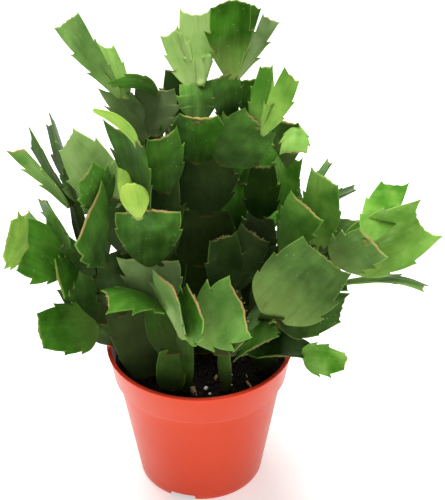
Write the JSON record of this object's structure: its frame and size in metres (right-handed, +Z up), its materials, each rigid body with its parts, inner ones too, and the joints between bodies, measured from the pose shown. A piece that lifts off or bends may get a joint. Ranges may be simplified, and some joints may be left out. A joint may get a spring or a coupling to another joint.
{
  "type": "potted holiday cactus",
  "caption": "Potted holiday cactus: arching stems of flat, toothed segments growing from dark potting mix in a tapered plastic nursery pot.",
  "frame": {"origin": "centre of the pot's flat underside", "axes": "+Z up along the pot's axis, -Y towards the front of the plant as pictured, +X to its right"},
  "size_m": [0.2178, 0.1612, 0.2752],
  "materials": {
    "pot_plastic": "satin moulded polypropylene, orange red",
    "potting_mix": "damp peat and bark with white perlite",
    "cactus_pads": "waxy green skin, glossy, paler at the margins"
  },
  "bodies": {
    "root": {"pot": "pot_plastic", "potting_mix": "potting_mix", "stem_front": "cactus_pads", "stem_left": "cactus_pads", "stem_side": "cactus_pads", "stem_middle": "cactus_pads", "stem_centre": "cactus_pads", "stem_right": "cactus_pads", "stem_outer": "cactus_pads", "stem_back_left": "cactus_pads", "stem_back_right": "cactus_pads", "stem_back": "cactus_pads"}
  },
  "joints": []
}
